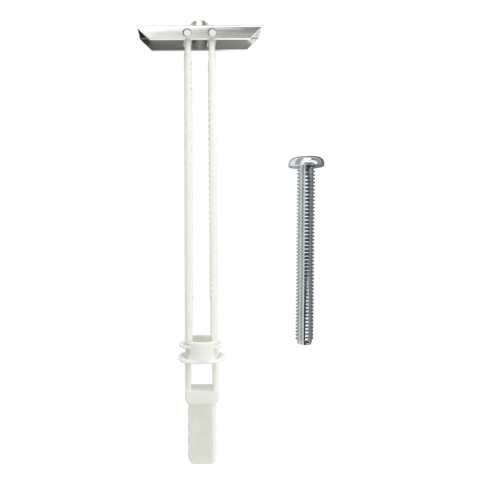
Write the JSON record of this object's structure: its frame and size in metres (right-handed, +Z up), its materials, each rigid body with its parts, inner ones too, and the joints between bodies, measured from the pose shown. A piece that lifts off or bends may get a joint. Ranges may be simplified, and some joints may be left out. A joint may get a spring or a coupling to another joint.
{
  "type": "drywall anchor bolt",
  "caption": "Strap toggle anchor for hollow walls: a steel channel toggle on toothed plastic straps with a sliding cap and pull grip, beside its pan-head machine screw.",
  "frame": {"origin": "on the ground under the middle of the box around the anchor and its screw", "axes": "+Y along the anchor from the pull grip to the toggle, +X from the anchor to the screw, +Z up from the ground"},
  "size_m": [0.0656, 0.1548, 0.013],
  "materials": {
    "toggle_steel": "satin, drawn along the channel's length",
    "strap_plastic": "milky, slightly translucent moulded plastic",
    "cap_plastic": "milky, slightly translucent moulded plastic",
    "screw_zinc": "bright zinc plate, faintly blue"
  },
  "bodies": {
    "root": {"strap_moulding": "strap_plastic", "machine_screw": "screw_zinc"},
    "toggle": {"toggle_channel": "toggle_steel"},
    "cap": {"slide_cap": "cap_plastic"}
  },
  "joints": [
    {"name": "toggle_pivot", "type": "hinge", "parent": "root", "child": "toggle", "pos_m": [-0.01098, 0.07222, 0.00471], "axis": [0, 0.0158, 0.9999], "range_deg": [-90, 90], "deforming": ["strap_moulding"]},
    {"name": "cap_slide", "type": "slide", "parent": "root", "child": "cap", "axis": [0, 0.9999, -0.0158], "range_m": [-0.01005, 0.08305]}
  ]
}
